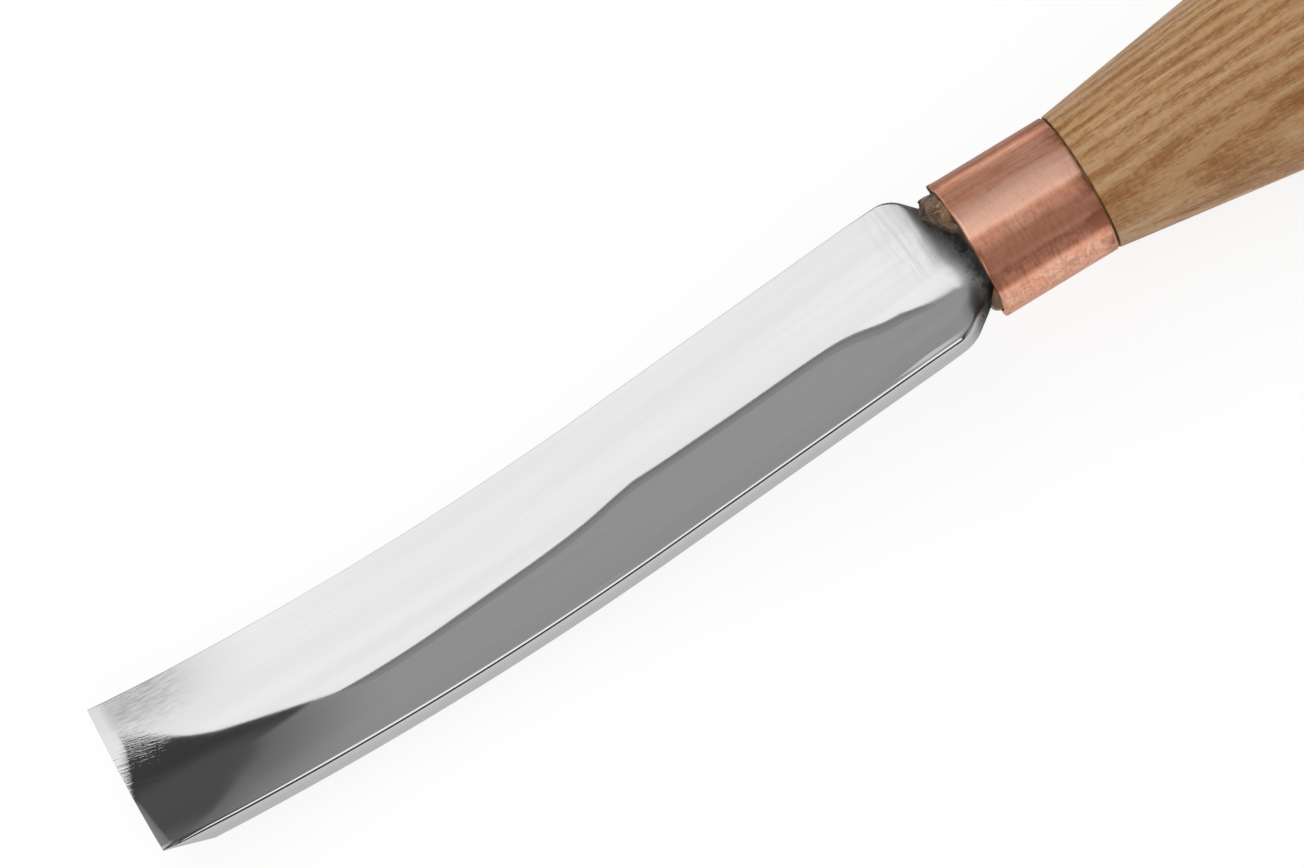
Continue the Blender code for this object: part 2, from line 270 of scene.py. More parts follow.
def spine(u):
    """Floor point and heading: straight in the handle, a short bend down, straight, then a long bend up.

    Each bent leg is an arc whose heading changes evenly with length.
    """
    x = np.where(u < -NECK_BEND / 2.0, -u, NECK_BEND / 2.0)
    z = np.zeros_like(u)
    heading = np.zeros_like(u)
    left = np.maximum(u + NECK_BEND / 2.0, 0.0)
    bend_length = BLADE_LENGTH - SHANK_LENGTH
    legs = (
        (NECK_BEND, -DROP_ANGLE),
        (SHANK_LENGTH - NECK_BEND / 2.0, 0.0),
        (bend_length, bend_length / BEND_RADIUS),
    )
    for length, turn in legs:
        run = np.minimum(left, length)
        swing = turn * run / length
        mean = heading + swing / 2.0
        chord = run * np.sinc(swing / 2.0 / math.pi)
        x = x - chord * np.cos(mean)
        z = z + chord * np.sin(mean)
        heading = heading + swing
        left = left - run
    return x, z, heading


def tang_root():
    """Distance from the mouth at which the sloping shoulder meets the tang."""
    return -(NECK_HALF_WIDTH - TANG_ROOT[0]) / math.tan(SHOULDER_ANGLE)


def tang_share(u):
    """0 at the tang's tip and 1 at its root."""
    return np.clip((u + TANG_LENGTH) / (tang_root() + TANG_LENGTH), 0.0, 1.0)


def half_width(u, neck=NECK_HALF_WIDTH):
    """Half the width at the arrises: tang taper, 45 degree shoulder, round corner, parallel blade."""
    slope = math.tan(SHOULDER_ANGLE)
    corner = (BLADE_HALF_WIDTH - neck) / slope
    tangent = SHOULDER_ROUND * math.tan(SHOULDER_ANGLE / 2.0)
    round_end = corner + tangent
    round_start = corner - tangent * math.cos(SHOULDER_ANGLE)
    tang = TANG_TIP[0] + (TANG_ROOT[0] - TANG_TIP[0]) * tang_share(u)
    sloping = neck + u * slope
    fallen = np.clip(round_end - u, 0.0, SHOULDER_ROUND)
    rounded = BLADE_HALF_WIDTH - SHOULDER_ROUND + np.sqrt(SHOULDER_ROUND ** 2 - fallen ** 2)
    wide = np.where(u < round_start, sloping, rounded)
    return np.where(u < tang_root(), tang, wide)


def faces_at(u):
    """Heights of the upper and lower face over the floor line: tang, neck, blade, outer bevel."""
    thick = TANG_TIP[1] + (TANG_ROOT[1] - TANG_TIP[1]) * tang_share(u)
    neck_share = u / tang_root()
    upper = ease(NECK_RISE, 0.0, u / NECK_RUN)
    lower = ease(NECK_RISE - NECK_THICKNESS, -BLADE_THICKNESS, u / NECK_RUN)
    upper = np.where(u < 0.0, ease(NECK_RISE, thick, neck_share), upper)
    lower = np.where(u < 0.0, ease(NECK_RISE - NECK_THICKNESS, -thick, neck_share), lower)
    thin = HONE_SLOPE * (HONE_LEAST + HONE_BULGE) / HONE_ROLL + EDGE_LAND
    bevel = np.clip((BLADE_LENGTH - u) / BEVEL_LENGTH, 0.0, 1.0)
    return upper, np.maximum(lower, -(thin + (BLADE_THICKNESS - thin) * bevel))


def hollow_share(u):
    """0 in the flat neck and 1 where the channel has its full depth."""
    return ease(0.0, 1.0, (u - HOLLOW_STARTS) / HOLLOW_RUNOUT)


def soft_corner(start, corner, end, steps):
    """Points of a round corner: the parabola that leaves start and reaches end along lines to the corner.

    With legs a and b and a turn T at the corner, the heading has turned by t at the share
    a sin t / (a sin t + b sin(T - t)); the points come at even steps of t.
    """
    first = np.linalg.norm(corner - start, axis=1)[:, None]
    second = np.linalg.norm(end - corner, axis=1)[:, None]
    dot = ((corner - start) * (end - corner)).sum(axis=1)[:, None]
    turn = np.arccos(np.clip(dot / (first * second), -1.0, 1.0))
    turned = turn * np.linspace(0.0, 1.0, steps)
    ahead = first * np.sin(turned)
    share = (ahead / (ahead + second * np.sin(turn - turned)))[:, :, None]
    rest = 1.0 - share
    return rest ** 2 * start[:, None] + 2.0 * rest * share * corner[:, None] + share ** 2 * end[:, None]


def crossing(point, heading, other, other_heading):
    """Distance along a line from point to where it meets another line."""
    gap = other - point
    bottom = heading[:, 0] * other_heading[:, 1] - heading[:, 1] * other_heading[:, 0]
    return (gap[:, 0] * other_heading[:, 1] - gap[:, 1] * other_heading[:, 0]) / bottom


def half_section(u, neck, arris_runs, flat_steps, round_steps):
    """Half of the outline across the blade, as (across, up) points from the floor to the back.

    The hollow is an arc of the channel's radius, the back an arc about the same centre, the side a
    straight flared wall, and both corners between them are round. The arris runs are how far its
    rounding reaches over the hollow and down the side.
    """
    half = half_width(u, neck)
    upper, lower = faces_at(u)
    hollow = hollow_share(u)
    back_radius = CHANNEL_RADIUS - lower
    lower_half = half + (upper - lower) * math.tan(SIDE_FLARE) * hollow

    def arc(y, level, radius):
        rise = radius - np.sqrt(radius ** 2 - y ** 2)
        return np.stack([y, level + hollow * rise], axis=-1)

    def along_arc(y, radius):
        slope = hollow * y / np.sqrt(radius ** 2 - y ** 2)
        return np.stack([np.ones_like(slope), slope], axis=1) / np.sqrt(1.0 + slope ** 2)[:, None]

    high = arc(half, upper, CHANNEL_RADIUS)
    low = arc(lower_half, lower, back_radius)
    side = np.linalg.norm(low - high, axis=1)
    down = (low - high) / side[:, None]
    top_run = np.minimum(arris_runs[:, 0], ARRIS_MOST[0] * side)
    top_flat = half - top_run * along_arc(half, CHANNEL_RADIUS)[:, 0]
    top_start = arc(top_flat, upper, CHANNEL_RADIUS)
    top_heading = along_arc(top_flat, CHANNEL_RADIUS)
    top_corner = top_start + top_heading * crossing(top_start, top_heading, high, down)[:, None]
    top_end = top_corner + down * np.minimum(arris_runs[:, 1], ARRIS_MOST[1] * side)[:, None]
    arris = soft_corner(top_start, top_corner, top_end, round_steps)

    back_run = np.minimum(ease(NECK_HEEL_RUN, HEEL_RUN, u / NECK_RUN), HEEL_MOST * side)
    back_flat = lower_half - back_run * along_arc(lower_half, back_radius)[:, 0]
    back_start = arc(back_flat, lower, back_radius)
    back_heading = along_arc(back_flat, back_radius)
    back_corner = back_start + back_heading * crossing(back_start, back_heading, low, down)[:, None]
    heel = soft_corner(back_corner - down * back_run[:, None], back_corner, back_start, round_steps)

    spread = np.linspace(0.0, 1.0, flat_steps, endpoint=False)[:, None]
    floor_line = arc(top_flat * spread, upper, CHANNEL_RADIUS).swapaxes(0, 1)
    back_line = arc(back_flat * (1.0 - spread - spread[1]), lower, back_radius).swapaxes(0, 1)
    return np.concatenate([floor_line, arris, heel, back_line], axis=1)


def hone(u, y):
    """Depth of the strip rolled off the hollow along the edge, whose width swells across.

    The slope grows with the share of the strip, to the power of the roll less one.
    """
    bulge = HONE_BULGE * np.exp(-((y - HONE_BULGE_AT) / HONE_SPREAD) ** 2)
    width = HONE_LEAST + bulge + HONE_CORNER * np.exp(-((y - HONE_CORNER_AT) / HONE_SPREAD) ** 2)
    share = np.clip(1.0 - (BLADE_LENGTH - u) / width, 0.0, 1.0)
    return HONE_SLOPE * width / HONE_ROLL * share ** HONE_ROLL


def grind_wander(u, y, half):
    """Height of the hand-ground hollow over its true arc.

    A slope across the blade, which is a sum of sine waves and Gaussians along u, times y, plus a
    shallow dish at the neck that turns over across as a tanh. Both die out at the arrises with
    (1 - (y / half)^2)^2.
    """
    slope = sum(size * np.sin(2.0 * math.pi * u / length + phase) for size, length, phase in GRIND_WAVES)
    slope = slope + sum(size * np.exp(-((u - at) / reach) ** 2) for size, at, reach in GRIND_TILTS)
    tilted = slope * y * ease(0.0, 1.0, u / GRIND_RUN_IN)
    dish = np.exp(-((u - DISH_AT) / DISH_REACH) ** 2) * ease(0.0, 1.0, (u - DISH_FROM) / DISH_RUN_IN)
    dished = DISH_DEPTH * dish * np.tanh((y - DISH_TURNS_AT) / DISH_TURNS_OVER)
    return (tilted + dished) * np.clip(1.0 - (y / half) ** 2, 0.0, 1.0) ** 2


def grid_quads(rows, columns, rows_meet=False, columns_meet=False):
    """Quads between neighbouring points of a grid, whose rows or columns may go round and meet again."""
    index = np.arange(rows * columns).reshape(rows, columns)
    index = np.pad(index, ((0, int(rows_meet)), (0, int(columns_meet))), mode="wrap")
    quads = [index[:-1, :-1], index[:-1, 1:], index[1:, 1:], index[1:, :-1]]
    return np.stack(quads, axis=-1).reshape(-1, 4)


def add_piece(name, points, quads, finish, node, marks=None, crease=30.0):
    """Put a closed surface into the scene as the piece that stands for a node of the frame."""
    mesh = bpy.data.meshes.new(name)
    mesh.from_pydata(points.reshape(-1, 3).tolist(), [], quads.tolist())
    for mark, values in (marks or {}).items():
        vector = values.shape[-1] == 3 and values.ndim == 3
        layer = mesh.attributes.new(mark, "FLOAT_VECTOR" if vector else "FLOAT", "POINT")
        layer.data.foreach_set("vector" if vector else "value", values.astype(np.float32).ravel())
    bm = bmesh.new()
    bm.from_mesh(mesh)
    bmesh.ops.remove_doubles(bm, verts=bm.verts, dist=WELD)
    bmesh.ops.dissolve_degenerate(bm, edges=bm.edges, dist=SLIVER)
    bmesh.ops.recalc_face_normals(bm, faces=bm.faces)
    bm.to_mesh(mesh)
    bm.free()
    mesh.shade_smooth()
    mesh.set_sharp_from_angle(angle=math.radians(crease))
    mesh.materials.append(finish)
    piece = bpy.data.objects.new(name, mesh)
    bpy.context.scene.collection.objects.link(piece)
    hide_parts(node)
    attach(piece, "root")


# The four pieces

def make_blade(finish):
    """Outline across the blade, far half then near half, carried along the spine square to it."""
    root = tang_root()
    bevel = BLADE_LENGTH - BEVEL_LENGTH
    hone_start = BLADE_LENGTH - HONE_LEAST - HONE_BULGE
    u = stations(
        (-TANG_LENGTH, root, 12), (root, 0.0, 24), (0.0, NECK_FINE_TO, 120),
        (NECK_FINE_TO, SHANK_LENGTH, 60), (SHANK_LENGTH, bevel, 130),
        (bevel, hone_start, 16), (hone_start, BLADE_LENGTH, 26),
    )
    flat_steps = 30
    round_steps = 17
    steps = (flat_steps, round_steps)
    eased = ((u - ARRIS_EASES_FROM) / ARRIS_EASES_OVER)[:, None]
    far = half_section(u, FAR_NECK_HALF_WIDTH, ease(FAR_SHOULDER, FAR_ARRIS, eased), *steps)
    near = half_section(u, NECK_HALF_WIDTH, ease(NEAR_SHOULDER, NEAR_ARRIS, eased), *steps)
    ring = np.concatenate([far, near[:, -2:0:-1, :] * np.array([-1.0, 1.0])], axis=1)
    y = ring[:, :, 0]
    half = half_width(u)[:, None]
    count = ring.shape[1]
    far_count = far.shape[1]
    ground = np.zeros(count)
    ground[:flat_steps + round_steps // 2] = 1.0
    ground[count - flat_steps - round_steps // 2:] = 1.0
    v = ring[:, :, 1] - hone(u[:, None], y) + ground * grind_wander(u[:, None], y, half)
    v = v + (TIP_LIFT * np.maximum(0.0, 1.0 - (BLADE_LENGTH - u) / TIP_LIFT_RUN) ** 2)[:, None]
    x, z, heading = spine(u)
    points = np.stack([
        x[:, None] + v * np.sin(heading)[:, None],
        y,
        z[:, None] + v * np.cos(heading)[:, None],
    ], axis=2) + MOUTH

    # Each end is closed by strips between the hollow's points and those of the back below them
    place = np.arange(count)
    mirror = (far_count - 1 - place) % count
    strip = np.stack([place, np.roll(place, -1), np.roll(mirror, -1), mirror], axis=1)
    strip = strip[(place < far_count // 2) | (place >= count - far_count // 2)]
    caps = np.concatenate([strip, (len(u) - 1) * count + strip[:, ::-1]])

    # The far arris is duller than the near one, so it is set after the near half has been copied
    wall = flat_steps + round_steps
    glint = flat_steps + round_steps * 3 // 4
    dull = flat_steps + round_steps // 4
    satin = np.zeros(count)
    satin[glint:wall] = np.linspace(0.0, 1.0, wall - glint)
    satin[wall:far_count] = 1.0
    satin[far_count:] = satin[far_count - 2:0:-1]
    satin[dull:wall] = np.linspace(0.3, 1.0, wall - dull)
    back = np.zeros(count)
    back[wall:wall + round_steps] = np.linspace(0.0, 1.0, round_steps)
    back[wall + round_steps:far_count] = 1.0
    back[far_count:] = back[far_count - 2:0:-1]
    marks = {
        "flow": np.stack([np.broadcast_to(u[:, None], y.shape), y, v], axis=2),
        "satin": np.broadcast_to(satin, y.shape),
        "back": np.broadcast_to(back, y.shape),
    }
    quads = np.concatenate([grid_quads(len(u), count, columns_meet=True), caps])
    add_piece("blade_forging", points, quads, finish, "blade", marks, crease=16.0)


def turned_points(x, radius, angle):
    """Points round the handle's axis; angle 0 is straight up and a positive one turns to the near side."""
    return np.stack([x, -radius * np.sin(angle), radius * np.cos(angle)], axis=-1) + MOUTH


def waves_round(waves, angle, x):
    """Sum of sine waves round the axis; each is (height, number, phase, turn per metre along)."""
    return sum(height * np.sin(number * angle + phase + turn * x) for height, number, phase, turn in waves)


def make_ferrule(finish):
    """A tube wall with eased edges, turned round the axis, with the slight flats of a drawn tube."""
    steps = 256
    corner = np.linspace(0.0, math.pi / 2.0, 6)
    outside = FERRULE_RADIUS
    inside = outside - FERRULE_WALL
    ease_x = FERRULE_ROUND * (1.0 - np.cos(corner))
    ease_r = FERRULE_ROUND * (1.0 - np.sin(corner))
    length = np.linspace(FERRULE_ROUND, FERRULE_LENGTH - FERRULE_ROUND, 60)[1:-1]
    bore = np.linspace(FERRULE_LENGTH, 0.0, 24)[1:-1]
    x = np.concatenate([
        ease_x, length, FERRULE_LENGTH - ease_x[::-1],
        [FERRULE_LENGTH, FERRULE_LENGTH], bore, [0.0, 0.0],
    ])
    r = np.concatenate([
        outside - ease_r, np.full(len(length), outside), outside - ease_r[::-1],
        [inside + FERRULE_ROUND, inside], np.full(len(bore), inside), [inside, inside + FERRULE_ROUND],
    ])
    angle = np.linspace(0.0, 2.0 * math.pi, steps, endpoint=False)[:, None]
    x = np.broadcast_to(x, (steps, len(x)))
    r = np.broadcast_to(r, x.shape)
    flats = waves_round(FERRULE_FLATS, angle, x) * (r > inside + FERRULE_WALL / 2.0)
    mouth = np.clip(1.0 - x / MOUTH_RUN, 0.0, 1.0)
    burr = np.exp(-((angle - BURR_AT) / BURR_SPREAD) ** 2) * mouth ** BURR_SHARPNESS
    radius = r + flats + BURR_RISE * burr
    along = x + waves_round(MOUTH_WAVES, angle, x) * mouth - BURR_REACH * burr
    points = turned_points(along, radius, angle)
    quads = grid_quads(steps, x.shape[1], rows_meet=True, columns_meet=True)
    add_piece("ferrule_tube", points, quads, finish, "ferrule", crease=35.0)


def tang_room(angle, x):
    """Distance from the axis to the blade's neck or tang, plus the fit, in the direction of an angle.

    The neck is taken as a box across the axis: whichever of its side or its face is met first.
    """
    u = -x
    upper, lower = faces_at(u)
    floor_z = spine(u)[1]
    across = np.maximum(np.abs(np.sin(angle)), TINY)
    upright = np.cos(angle)
    face = np.where(upright > 0.0, floor_z + upper, -(floor_z + lower)) + FIT_GAP
    face = np.maximum(face, NECK_ROOM_LEAST)
    steep = np.maximum(np.abs(upright), TINY)
    wide = half_width(u, np.where(np.sin(angle) > 0.0, NECK_HALF_WIDTH, FAR_NECK_HALF_WIDTH))
    reach = np.minimum(face / steep * across, wide)
    face = face + np.where(upright > 0.0, hollow_share(u) * reach ** 2 / (2.0 * CHANNEL_RADIUS), 0.0)
    return np.minimum((wide + FIT_GAP) / across, face / steep)


def pocket_share(angle):
    """1 inside the resin pocket of the tenon's end and 0 outside it, for angles from -pi to pi."""
    into = ease(0.0, 1.0, (angle - POCKET_FROM) / POCKET_FADE + 0.5)
    out = ease(0.0, 1.0, (POCKET_TO - angle) / POCKET_FADE + 0.5)
    return into * out


def hermite(start, end, slope_start, slope_end, steps):
    """Cubic outline between two (along, radius) points with a given slope at each."""
    share = np.linspace(0.0, 1.0, steps)
    length = end[0] - start[0]
    radius = (2.0 * share ** 3 - 3.0 * share ** 2 + 1.0) * start[1]
    radius = radius + (3.0 * share ** 2 - 2.0 * share ** 3) * end[1]
    radius = radius + length * (share ** 3 - 2.0 * share ** 2 + share) * slope_start
    radius = radius + length * (share ** 3 - share ** 2) * slope_end
    return np.stack([start[0] + length * share, radius], axis=1)


def butt_round(start, end, slope, steps):
    """Cubic Bezier that leaves the tail along its slope and meets the butt face square to the axis."""
    share = np.linspace(0.0, 1.0, steps)[:, None]
    rest = 1.0 - share
    reach = (end[0] - start[0]) * BUTT_PULL
    first = np.array([start[0] + reach, start[1] + reach * slope])
    second = np.array([end[0], end[1] + (start[1] - end[1]) * BUTT_PULL])
    ends = rest ** 3 * start + share ** 3 * end
    return ends + 3.0 * rest ** 2 * share * first + 3.0 * rest * share ** 2 * second


def grip_outline():
    """Outside of the handle behind the ferrule as (along, radius): step, cone, belly, tail, butt."""
    step_x = FERRULE_LENGTH + FIT_GAP
    turn = np.linspace(0.0, math.pi / 2.0, 6)
    eased = np.stack([
        step_x + SHOULDER_EASE * (1.0 - np.sin(turn)),
        FERRULE_RADIUS - SHOULDER_EASE * (1.0 - np.cos(turn)),
    ], axis=1)[::-1]
    cone_radius = FERRULE_RADIUS + (CONE_LENGTH - FIT_GAP) * CONE_SLOPE
    cone_end = np.array([FERRULE_LENGTH + CONE_LENGTH, cone_radius])
    belly = np.array([FERRULE_LENGTH + BELLY_AT, BELLY_RADIUS])
    tail = np.array([BUTT_PLACE - BUTT_ROUND_LENGTH, TAIL_RADIUS])
    butt = np.array([BUTT_PLACE, BUTT_FACE_RADIUS])
    cone_share = np.linspace(0.0, 1.0, 40)[:, None]
    cone = eased[-1] + (cone_end - eased[-1]) * cone_share
    belly_line = hermite(cone_end, belly, CONE_SLOPE, 0.0, 40)
    tail_line = hermite(belly, tail, 0.0, TAIL_SLOPE, 56)
    round_line = butt_round(tail, butt, TAIL_SLOPE, 30)
    face_share = np.linspace(1.0, 0.0, 10)[1:, None]
    face = np.concatenate([np.full_like(face_share, BUTT_PLACE), BUTT_FACE_RADIUS * face_share], axis=1)
    return np.concatenate([eased, cone[1:], belly_line[1:], tail_line[1:], round_line[1:], face])


def make_handle(finish):
    """Turned outline from the bore's drill point, up the bore, over the tenon's end and down the grip.

    Round the mouth the bore widens to clear the blade's neck, and the tenon's end is cut back where
    the resin pocket is.
    """
    steps = 320
    angle = np.linspace(-math.pi, math.pi, steps, endpoint=False)[:, None]
    cut = pocket_share(angle)
    end_x = -TENON_PROUD + (TENON_PROUD + POCKET_DEPTH) * cut
    end_x = end_x + TENON_RIPPLE * np.sin(5.0 * angle) * (1.0 - cut)
    deep = np.array([BORE_DEPTH + DRILL_POINT, BORE_DEPTH, BORE_MIDDLE, BORE_WIDENS_FROM])
    mouth_share = np.linspace(0.0, 1.0, 40)[1:]
    bore_x = np.concatenate([
        np.broadcast_to(deep, (steps, len(deep))),
        BORE_WIDENS_FROM + (end_x - BORE_WIDENS_FROM) * mouth_share,
    ], axis=1)
    bore_r = np.maximum(BORE_RADIUS, tang_room(angle, bore_x))
    bore_r[:, 0] = 0.0
    rim_r = TENON_RADIUS - TENON_CHAMFER
    bore_r = np.minimum(bore_r, rim_r - TENON_FACE_LEAST)
    face_share = np.linspace(0.0, 1.0, 10)[1:]
    face_r = bore_r[:, -1:] + (rim_r - bore_r[:, -1:]) * face_share
    face_x = np.broadcast_to(end_x, face_r.shape)
    chamfer_turn = np.linspace(0.0, 1.0, 7)[1:] * math.pi / 2.0
    chamfer_r = rim_r + TENON_CHAMFER * np.sin(chamfer_turn)
    chamfer_x = end_x + TENON_CHAMFER * (1.0 - np.cos(chamfer_turn))
    step_x = FERRULE_LENGTH + FIT_GAP
    wall_share = np.linspace(0.0, 1.0, 16)[1:]
    wall_x = chamfer_x[:, -1:] + (step_x - chamfer_x[:, -1:]) * wall_share
    grip = grip_outline()
    grip_x = np.broadcast_to(grip[:, 0], (steps, len(grip)))
    grip_r = np.broadcast_to(grip[:, 1], (steps, len(grip)))
    x = np.concatenate([bore_x, face_x, chamfer_x, wall_x, grip_x], axis=1)
    r = np.concatenate([
        bore_r, face_r, np.broadcast_to(chamfer_r, chamfer_x.shape),
        np.full(wall_x.shape, TENON_RADIUS), grip_r,
    ], axis=1)
    points = turned_points(x, r, angle)
    quads = grid_quads(steps, x.shape[1], rows_meet=True)
    add_piece("handle_grip", points, quads, finish, "handle", crease=38.0)


def make_resin(finish):
    """Resin round the tang, as a turned skin: up the tang, over the lumpy top, down the bore.

    The top lies just inside the ferrule, and on the far side it swells out of it in a rough lump.
    """
    steps = 320
    angle = np.linspace(-math.pi, math.pi, steps, endpoint=False)[:, None]
    cut = pocket_share(angle)
    plug_r = BORE_RADIUS - FIT_GAP
    outer_r = plug_r + (TENON_RADIUS - plug_r) * cut
    mouth_room = tang_room(angle, np.zeros_like(angle))
    clear_r = plug_r - PLUG_MARGIN
    deep_enough = half_width(np.zeros(1))[0] + FIT_GAP - clear_r * np.abs(np.sin(angle))
    lowered = np.where(mouth_room > clear_r, np.maximum(RESIN_SUNK, deep_enough), RESIN_SUNK)
    sunk = lowered + (RESIN_SUNK - lowered) * cut

    def face_x(radius):
        aside = -radius * np.sin(angle) * math.cos(LUMP_LEAN)
        lifted = aside + radius * np.cos(angle) * math.sin(LUMP_LEAN)
        proud = np.clip((lifted - LUMP_FROM) / LUMP_SLOPE, 0.0, LUMP_PROUD) * cut
        return sunk - proud - RESIN_SUNK * ease(0.0, 1.0, proud / LUMP_ROOT)

    room_x = TANG_LENGTH + FIT_GAP
    inner_most = outer_r - SKIN_LEAST
    rim_r = np.minimum(mouth_room, inner_most)
    rim_r = np.minimum(tang_room(angle, face_x(rim_r)), inner_most)
    inner_x = room_x + (face_x(rim_r) - room_x) * np.linspace(0.0, 1.0, 30)
    inner_r = np.minimum(tang_room(angle, inner_x), inner_most)
    inner_r[:, 0] = 0.0
    top_share = np.linspace(0.0, 1.0, 40)[1:]
    top_r = inner_r[:, -1:] + (outer_r - inner_r[:, -1:]) * top_share
    top_x = face_x(top_r)
    top_x = top_x + (sunk - top_x) * RIM_FALL * top_share ** 5
    step_x = sunk + PLUG_STEP
    floor_x = step_x + (POCKET_DEPTH - FIT_GAP - step_x) * cut
    outer_x = top_x[:, -1:] + (floor_x - top_x[:, -1:]) * np.linspace(0.0, 1.0, 14)[1:]
    floor_r = outer_r + (plug_r - outer_r) * np.linspace(0.0, 1.0, 6)[1:]
    deep = np.array([20.0 * MM, 45.0 * MM, BORE_DEPTH - FIT_GAP, BORE_DEPTH - FIT_GAP])
    deep_x = np.broadcast_to(deep, (steps, len(deep)))
    deep_r = np.broadcast_to(np.array([plug_r, plug_r, plug_r, 0.0]), deep_x.shape)
    x = np.concatenate([inner_x, top_x, outer_x, np.broadcast_to(floor_x, floor_r.shape), deep_x], axis=1)
    r = np.concatenate([inner_r, top_r, np.broadcast_to(outer_r, outer_x.shape), floor_r, deep_r], axis=1)
    points = turned_points(x, r, angle)
    shown = np.clip((PEBBLES_FROM - x) / PEBBLES_OVER, 0.0, 1.0)
    rough = sum(share * lumps(points, size, seed) for share, size, seed in PEBBLES)
    share, size, seed = SIDE_PEBBLES
    x = x - LUMP_ROUGHNESS * rough * shown
    r = r + share * LUMP_ROUGHNESS * lumps(points, size, seed) * shown
    r = np.minimum(r, FERRULE_RADIUS - FERRULE_WALL - TUBE_GAP)
    points = turned_points(x, r, angle)
    quads = grid_quads(steps, x.shape[1], rows_meet=True)
    add_piece("tang_bedding", points, quads, finish, "tang_resin", crease=50.0)


# Finishes

class Wire:
    """A socket of a shader tree; arithmetic on it adds Math nodes to the same tree."""

    def __init__(self, tree, socket=None):
        self.tree = tree
        self.socket = socket

    def put(self, value, target):
        """Link a wire to a socket, or set a plain value on it."""
        if isinstance(value, Wire):
            self.tree.links.new(value.socket, target)
        else:
            target.default_value = value

    def node(self, kind, settings=None, sockets=None, output=0):
        """Any node: its type, its settings, a ramp's stops among them, and what its sockets get."""
        added = self.tree.nodes.new(kind)
        for name, value in (settings or {}).items():
            if name == "stops":
                points = added.color_ramp.elements
                while len(points) < len(value):
                    points.new(0.5)
                for point, (place, colour) in zip(points, value):
                    point.position = place
                    point.color = (*colour, 1.0)
            else:
                setattr(added, name, value)
        for name, value in (sockets or {}).items():
            self.put(value, added.inputs[name])
        return Wire(self.tree, added.outputs[output] if added.outputs else None)

    def other(self, output):
        """Another output of the node that this wire comes from."""
        return Wire(self.tree, self.socket.node.outputs[output])

    def math(self, operation, *values):
        """Math node of any operation on this wire or on the values given."""
        return self.node("ShaderNodeMath", {"operation": operation}, dict(enumerate(values or (self,))))

    def __add__(self, other):
        return self.math("ADD", self, other)

    def __sub__(self, other):
        return self.math("SUBTRACT", self, other)

    def __rsub__(self, other):
        return self.math("SUBTRACT", other, self)

    def __mul__(self, other):
        return self.math("MULTIPLY", self, other)

    def __truediv__(self, other):
        return self.math("DIVIDE", self, other)

    def __pow__(self, other):
        return self.math("POWER", self, other)

    __radd__ = __add__
    __rmul__ = __mul__

    def stretched(self, x, y, z):
        """Vector with each part multiplied by its own number."""
        return self.node("ShaderNodeVectorMath", {"operation": "MULTIPLY"}, {0: self, 1: (x, y, z)})

    def noise(self, scale=1.0, detail=2.0, roughness=0.5, distortion=0.0):
        """Soft random pattern between 0 and 1 at this place."""
        sockets = {"Vector": self, "Scale": scale, "Detail": detail, "Roughness": roughness,
                   "Distortion": distortion}
        return self.node("ShaderNodeTexNoise", {}, sockets)

    def between(self, low, high, start=0.0, end=1.0):
        """Smooth step from start to end as this wire goes from low to high."""
        sockets = {"Value": self, "From Min": low, "From Max": high, "To Min": start, "To Max": end}
        return self.node("ShaderNodeMapRange", {"interpolation_type": "SMOOTHSTEP"}, sockets)

    def band(self, rise_from, rise_to, fall_from, fall_to):
        """1 inside a band of this wire's values, with a smooth rise into it and a smooth fall out of it."""
        return self.between(rise_from, rise_to) * self.between(fall_to, fall_from)

    def mix(self, first, second):
        """Colour between two others, with this wire as the share of the second."""
        sockets = {0: self, 6: first, 7: second}
        return self.node("ShaderNodeMix", {"data_type": "RGBA"}, sockets, output=2)

    def parts(self):
        """The three parts of a vector."""
        first = self.node("ShaderNodeSeparateXYZ", {}, {0: self})
        return first, first.other(1), first.other(2)


def tone(red, green, blue):
    """Colour for a socket, from linear red, green and blue."""
    return (red, green, blue, 1.0)


def new_finish(name):
    """Empty material: its first wire, its shader and a function that sets the shader's sockets."""
    finish = bpy.data.materials.new(name)
    finish.use_nodes = True
    shader = finish.node_tree.nodes["Principled BSDF"]
    start = Wire(finish.node_tree)

    def dress(**sockets):
        for socket, value in sockets.items():
            start.put(value, shader.inputs[socket.replace("_", " ")])

    return finish, start, dress


def bump(height):
    """Normal that follows a height in micrometres."""
    sockets = {"Strength": 1.0, "Distance": MICROMETRE, "Height": height}
    return height.node("ShaderNodeBump", {}, sockets)


